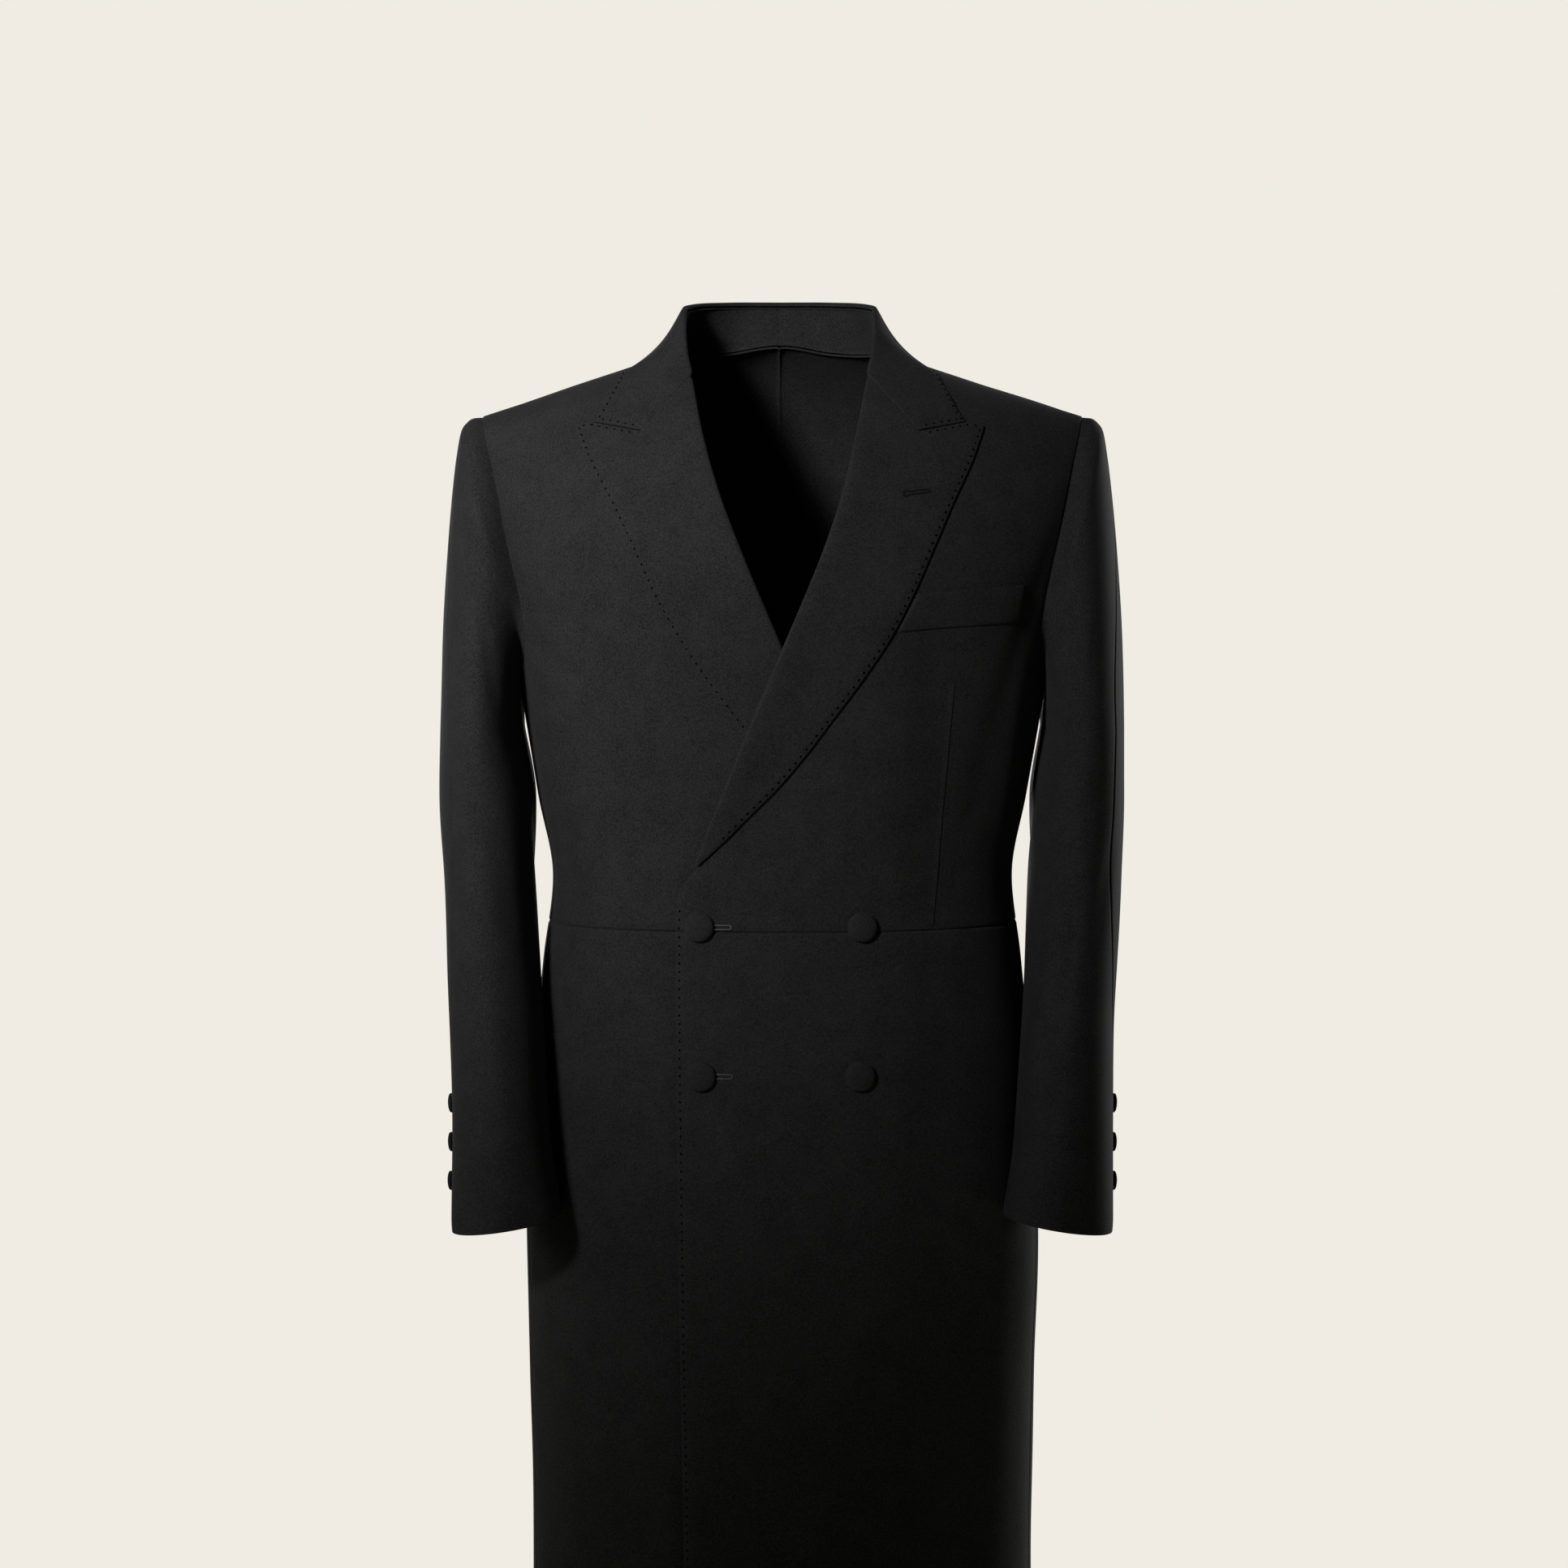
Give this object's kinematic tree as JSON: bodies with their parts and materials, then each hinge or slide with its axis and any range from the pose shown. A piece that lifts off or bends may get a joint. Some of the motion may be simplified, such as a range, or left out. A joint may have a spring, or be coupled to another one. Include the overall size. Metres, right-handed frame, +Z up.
{
  "type": "hasidic frock coat",
  "caption": "Long double-breasted wool frock coat with wide peaked lapels, closed left over right with cloth-covered buttons, in the hollow form it has when worn.",
  "frame": {"origin": "middle of the neck opening, level with the side neck points, where the wearer's shoulders carry the coat", "axes": "+Z up, -Y towards the front, +X towards the wearer's left"},
  "size_m": [0.5322, 0.2863, 1.1698],
  "materials": {
    "wool": "black worsted wool, matte",
    "button_cloth": "black wool stretched over the button, matte"
  },
  "bodies": {
    "root": {"forepart_left": "wool", "forepart_right": "wool", "lapel_left": "wool", "lapel_right": "wool", "side_body_left": "wool", "side_body_right": "wool", "back_left": "wool", "back_right": "wool", "skirt_front_left": "wool", "skirt_front_right": "wool", "skirt_side_left": "wool", "skirt_side_right": "wool", "topsleeve_left": "wool", "topsleeve_right": "wool", "undersleeve_left": "wool", "undersleeve_right": "wool", "collar": "wool", "collar_stand": "wool", "breast_welt": "wool", "button_upper_outer": "button_cloth", "button_upper_inner": "button_cloth", "button_lower_outer": "button_cloth", "button_lower_inner": "button_cloth", "cuff_button_left_1": "button_cloth", "cuff_button_left_2": "button_cloth", "cuff_button_left_3": "button_cloth", "cuff_button_right_1": "button_cloth", "cuff_button_right_2": "button_cloth", "cuff_button_right_3": "button_cloth"}
  },
  "joints": []
}
